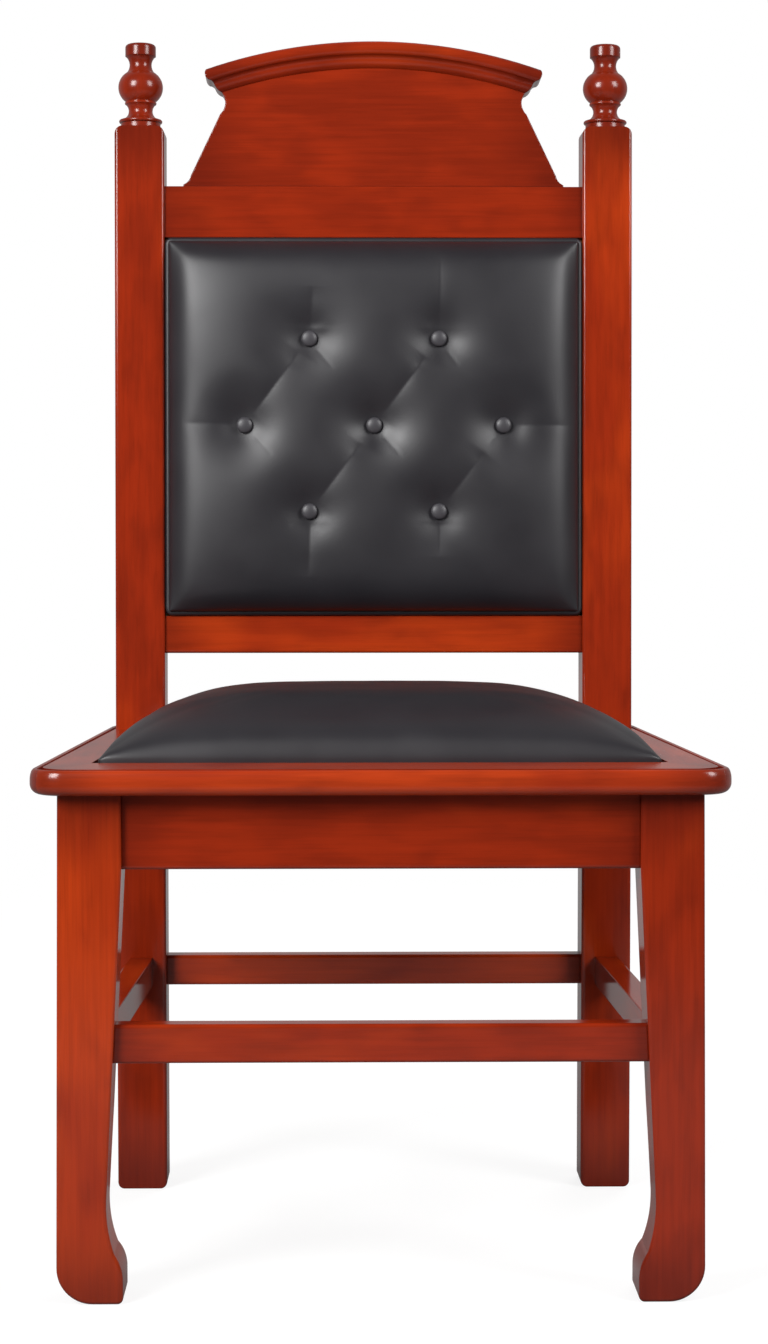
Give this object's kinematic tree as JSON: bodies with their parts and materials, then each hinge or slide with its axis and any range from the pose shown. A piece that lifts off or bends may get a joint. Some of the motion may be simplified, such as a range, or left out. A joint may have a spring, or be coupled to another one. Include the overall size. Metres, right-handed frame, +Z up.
{
  "type": "conference chair",
  "caption": "Straight-backed wooden conference chair with a button-tufted leather back, an arched crest between turned finials, and a domed leather seat.",
  "frame": {"origin": "centre of the chair's box on the floor it stands on", "axes": "+Z up, -Y the way the sitter faces, +X to the right of someone who looks at the chair's front"},
  "size_m": [0.5398, 0.4724, 1.03],
  "materials": {
    "lacquered_wood": "gloss",
    "raw_wood": "matte",
    "plywood": "matte",
    "leather": "satin",
    "foam": "matte",
    "steel": "satin",
    "twine": "matte"
  },
  "bodies": {
    "root": {"back_board": "plywood", "back_board_screws": "steel", "back_bottom_rail": "lacquered_wood", "back_buttons": "leather", "back_cover": "leather", "back_foam": "foam", "back_rear_panel": "leather", "back_top_rail": "lacquered_wood", "back_welt": "leather", "crest_dowels": "raw_wood", "crest_moulding": "lacquered_wood", "crest_panel": "lacquered_wood", "front_apron": "lacquered_wood", "front_left_corner_block": "raw_wood", "front_right_corner_block": "raw_wood", "front_stretcher": "lacquered_wood", "left_back_cleat": "raw_wood", "left_finial": "lacquered_wood", "left_front_leg": "lacquered_wood", "left_rear_post": "lacquered_wood", "left_side_apron": "lacquered_wood", "left_side_stretcher": "lacquered_wood", "rear_apron": "lacquered_wood", "rear_left_corner_block": "raw_wood", "rear_right_corner_block": "raw_wood", "rear_stretcher": "lacquered_wood", "right_back_cleat": "raw_wood", "right_finial": "lacquered_wood", "right_front_leg": "lacquered_wood", "right_rear_post": "lacquered_wood", "right_side_apron": "lacquered_wood", "right_side_stretcher": "lacquered_wood", "seat_board": "plywood", "seat_board_screws": "steel", "seat_cover": "leather", "seat_foam": "foam", "seat_frame_screws": "steel", "seat_front_rail": "lacquered_wood", "seat_left_rail": "lacquered_wood", "seat_rear_rail": "lacquered_wood", "seat_right_rail": "lacquered_wood", "tufting_twines": "twine"}
  },
  "joints": []
}
